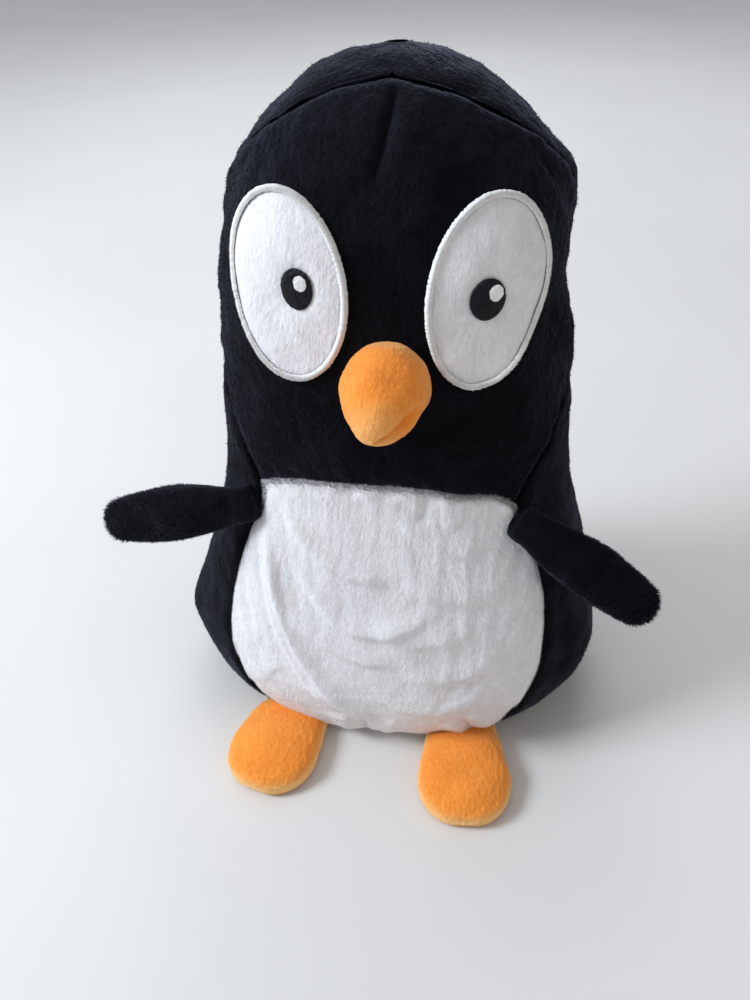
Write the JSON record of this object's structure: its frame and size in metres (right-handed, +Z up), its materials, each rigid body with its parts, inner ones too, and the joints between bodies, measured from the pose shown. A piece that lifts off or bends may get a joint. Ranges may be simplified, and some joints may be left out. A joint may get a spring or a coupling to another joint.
{
  "type": "plush penguin",
  "caption": "Upright plush penguin with a dome body, white belly and eye patches, orange beak, stuffed flippers and flat feet that stands on its own base.",
  "frame": {"origin": "centre of the flat base, on the surface it stands on", "axes": "+Z up to the crown, -Y out of the face and beak, +X towards the penguin's own left flipper"},
  "size_m": [0.2532, 0.1888, 0.2994],
  "materials": {
    "black_plush": "matte",
    "white_plush": "matte",
    "orange_plush": "matte",
    "white_thread": "satin",
    "black_thread": "satin",
    "fibre_fill": "matte"
  },
  "bodies": {
    "body": {"base_panel": "black_plush", "back_panel_left": "black_plush", "back_panel_right": "black_plush", "face_panel": "black_plush", "belly_panel": "white_plush", "body_stuffing": "fibre_fill", "closing_stitches": "black_thread", "eye_patch_left": "white_plush", "eye_border_left": "white_thread", "pupil_left": "black_thread", "highlight_left": "white_thread", "eye_patch_right": "white_plush", "eye_border_right": "white_thread", "pupil_right": "black_thread", "highlight_right": "white_thread", "beak_cover": "orange_plush", "beak_stuffing": "fibre_fill"},
    "flipper_neck_left": {"flipper_root_left": "black_plush"},
    "flipper_left": {"flipper_front_left": "black_plush", "flipper_back_left": "black_plush", "flipper_stuffing_left": "fibre_fill"},
    "foot_left": {"foot_sole_left": "orange_plush", "foot_top_left": "orange_plush", "foot_stuffing_left": "fibre_fill"},
    "flipper_neck_right": {"flipper_root_right": "black_plush"},
    "flipper_right": {"flipper_front_right": "black_plush", "flipper_back_right": "black_plush", "flipper_stuffing_right": "fibre_fill"},
    "foot_right": {"foot_sole_right": "orange_plush", "foot_top_right": "orange_plush", "foot_stuffing_right": "fibre_fill"}
  },
  "joints": [
    {"name": "flipper_lift_left", "type": "hinge", "parent": "body", "child": "flipper_neck_left", "pos_m": [0.05547, -0.03934, 0.129], "axis": [0.4717, -0.8412, 0.2644], "range_deg": [-40, 75], "stiffness_Nm_per_rad": 0.03},
    {"name": "flipper_swing_left", "type": "hinge", "parent": "flipper_neck_left", "child": "flipper_left", "pos_m": [0.06103, -0.0434, 0.12773], "axis": [-0.5257, -0.509, -0.6816], "range_deg": [-4, 75], "stiffness_Nm_per_rad": 0.03},
    {"name": "foot_fold_left", "type": "hinge", "parent": "body", "child": "foot_left", "pos_m": [0.041, -0.06885, 0.0015], "axis": [-0.9976, -0.0698, 0], "range_deg": [-35, 30], "stiffness_Nm_per_rad": 0.03},
    {"name": "flipper_lift_right", "type": "hinge", "parent": "body", "child": "flipper_neck_right", "pos_m": [-0.05547, -0.03934, 0.129], "axis": [0.4717, 0.8412, -0.2644], "range_deg": [-60, 75], "stiffness_Nm_per_rad": 0.03},
    {"name": "flipper_swing_right", "type": "hinge", "parent": "flipper_neck_right", "child": "flipper_right", "pos_m": [-0.06157, -0.04277, 0.12902], "axis": [-0.2237, 0.4042, 0.8869], "range_deg": [-10, 75], "stiffness_Nm_per_rad": 0.03},
    {"name": "foot_fold_right", "type": "hinge", "parent": "body", "child": "foot_right", "pos_m": [-0.046, -0.06335, 0.0015], "axis": [-0.9659, 0.2588, 0], "range_deg": [-35, 30], "stiffness_Nm_per_rad": 0.03}
  ]
}
